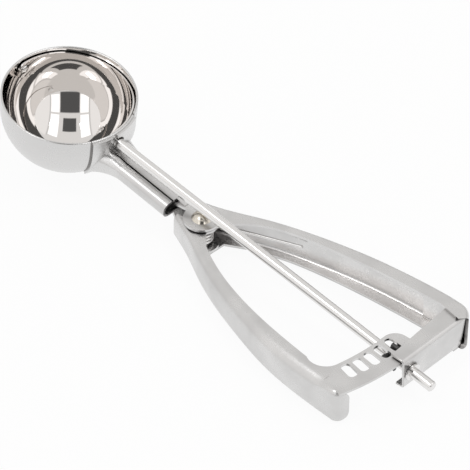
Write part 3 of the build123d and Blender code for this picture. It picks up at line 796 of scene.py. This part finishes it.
# pieces that keep the CAD's skin, with the width of their soft edges
for name, node, finish, body, slot, width in (
        ("fixedHandle", "fixed_handle", satin, "scoop", "satin_steel", 0.28),
        ("movingHandle", "moving_handle", satin, "squeeze_handle", "satin_steel", 0.28),
        ("rearBracket", "rear_bracket", satin, "scoop", "satin_steel", 0.28),
        ("retainingRing", "retaining_ring", rodFinish, "rotor", "dark_steel", 0.1),
        # the pinion takes the near-black painted-shade finish
        ("pinion", "pinion", pinionShadeFinish, "rotor", "dark_steel", 0.2)):
    piece = mergedCopy(name + "Piece", node)
    if node == "moving_handle":
        cutAway(piece, squeezedCutters())
        widenFold(piece)
    if node == "fixed_handle":
        cutAway(piece, neckCutters())
    softEdges(piece, width)
    dress(piece, finish, body, node, slot)
print("pieces done")

# stage, light and camera
studio = {
    "camera": (0.7418, -0.7652, 1.0220),
    "away": (0.50240, -0.52348, 0.68816),   # from the target back to the camera
    "roll": 0.795,                          # degrees
    "lens": 317.0,
    "floor": 0.86,
    "floorSeen": 0.93,                      # share of plain white where it is looked at
    "tent": (0.84, 0.83, 0.82, 1),
    "flank": (1.0, 0.985, 0.975, 1),
    "window": (1.45, 1.45, 1.46, 1),
    "dark": (0.10, 0.10, 0.10, 1),
    "horizon": (0.16, 0.15, 0.14, 1),
    "windowRows": ((24, 57.5), (61.5, 106)),   # degrees over the floor
    "windowSides": (0.31, 0.54),               # sine of the angle aside
    "slotRows": ((20, 57.5), (67, 92)),
    "slotSides": (0.29, 0.19),
    "seamRows": (20, 110),
    "seamSides": (0.555, 0.575),
    "flankRows": (18, 112),
    "flankSide": 0.58,
    "rimHeight": 0.10,                         # sine of the angle over the floor
    "rimSide": -0.5,                           # the rim is dimmed less beyond this
}
bearing = math.atan2(studio["away"][1], studio["away"][0])
lookWay = np.array([math.cos(bearing), math.sin(bearing), 0])
asideWay = np.array([-math.sin(bearing), math.cos(bearing), 0])

# a small lamp inside each upper window of the tent, in metres and watts
lamps = {"ahead": 0.09, "up": 0.9, "aside": 0.425, "reach": 1.4, "size": 0.26, "power": 1.2}


def addFloor():
    # pale floor: white where it is looked at or mirrored, its own colour elsewhere
    bpy.ops.mesh.primitive_plane_add(size=6, location=(0, 0, 0))
    floor = bpy.context.object
    floor.name = "floor"
    material, bench, surface, place = newMaterial("paleFloor")
    fit(bench, surface, Base_Color=(studio["floor"],) * 3 + (1,), Roughness=0.7)
    camera, glossy, through = [bench.node("ShaderNodeLightPath", out=ray)
                               for ray in ("Is Camera Ray", "Is Glossy Ray", "Is Transmission Ray")]
    white = bench.node("ShaderNodeEmission", None, {"Color": (1, 1, 1, 1), "Strength": 1.0})
    mix = bench.node("ShaderNodeMixShader", None, {0: studio["floorSeen"] * (camera + glossy + through),
                                                   1: Wire(bench, surface.outputs[0]), 2: white})
    bench.tree.links.new(mix.socket, bench.tree.nodes["Material Output"].inputs["Surface"])
    floor.data.materials.append(material)


def addLamp(side):
    # square lamp at reach * (ahead, side * aside, up), turned to the middle of the floor
    lamp = bpy.data.lights.new("window%d" % side, "AREA")
    lamp.shape = "RECTANGLE"
    lamp.size = lamp.size_y = lamps["size"]
    lamp.energy = lamps["power"]
    way = lamps["ahead"] * lookWay + side * lamps["aside"] * asideWay + lamps["up"] * upWay
    holder = bpy.data.objects.new("window%d" % side, lamp)
    holder.location = lamps["reach"] * way
    holder.rotation_euler = Vector(-way).to_track_quat("-Z", "Y").to_euler()
    bpy.context.collection.objects.link(holder)


def lightWorld():
    # a white tent with two rows of windows on each side of a dark slot, and a dim edge round the
    # floor; across is the sine of the angle aside, along the angle over the floor
    world = bpy.data.worlds.new("studioWorld")
    world.use_nodes = True
    bench = Bench(world.node_tree)
    way = bench.node("ShaderNodeTexCoord")
    high = bench.dot(way, tuple(upWay))
    across = bench.dot(way, tuple(asideWay))
    along = bench.math("ARCTAN2", high, bench.dot(way, tuple(lookWay))) * (180 / math.pi)
    aside = abs(across)
    lower, upper = [bench.between(along, *row, 0.4) for row in studio["windowRows"]]
    windows = (lower + upper) * bench.between(aside, *studio["windowSides"], 0.004)
    lowRows, highRows = studio["slotRows"]
    lowSide, highSide = studio["slotSides"]
    slots = (bench.between(along, *lowRows, 1.5) * bench.between(aside, -1.0, lowSide, 0.02)
             + bench.between(along, *highRows, 1.0) * bench.between(aside, -1.0, highSide, 0.01))
    seams = bench.between(aside, *studio["seamSides"], 0.004) * bench.between(along, *studio["seamRows"], 2)
    rim = 1 - bench.between(high, studio["rimHeight"], 2.0, 0.05)
    rim = rim * (1 - 0.8 * bench.between(across, -1.5, studio["rimSide"], 0.15))
    flanks = (bench.between(aside, studio["flankSide"], 1.2, 0.02)
              * bench.between(along, *studio["flankRows"], 4))
    tone = bench.blend(rim, studio["tent"], studio["horizon"])
    tone = bench.blend(flanks, tone, studio["flank"])
    tone = bench.blend(slots + 0.25 * seams, tone, studio["dark"])
    tone = bench.blend(windows, tone, studio["window"])
    tone = bench.blend(bench.node("ShaderNodeLightPath", out="Is Camera Ray"), tone, (1, 1, 1, 1))
    background = world.node_tree.nodes["Background"]
    world.node_tree.links.new(tone.socket, background.inputs["Color"])
    background.inputs["Strength"].default_value = 1.0
    bpy.context.scene.world = world


def addCamera():
    # looks along -away, rolled about its own axis
    camera = bpy.data.objects.new("camera", bpy.data.cameras.new("camera"))
    camera.data.lens = studio["lens"]
    camera.data.sensor_width = 36
    camera.data.clip_end = 20
    turn = Vector(studio["away"]).to_track_quat("Z", "Y").to_matrix()
    camera.matrix_world = (Matrix.Translation(studio["camera"])
                           @ (turn @ Matrix.Rotation(math.radians(studio["roll"]), 3, "Z")).to_4x4())
    bpy.context.collection.objects.link(camera)
    bpy.context.scene.camera = camera


addFloor()
lightWorld()
for side in (-1, 1):
    addLamp(side)
addCamera()
bpy.context.scene.view_settings.view_transform = "Standard"
print("stage done")
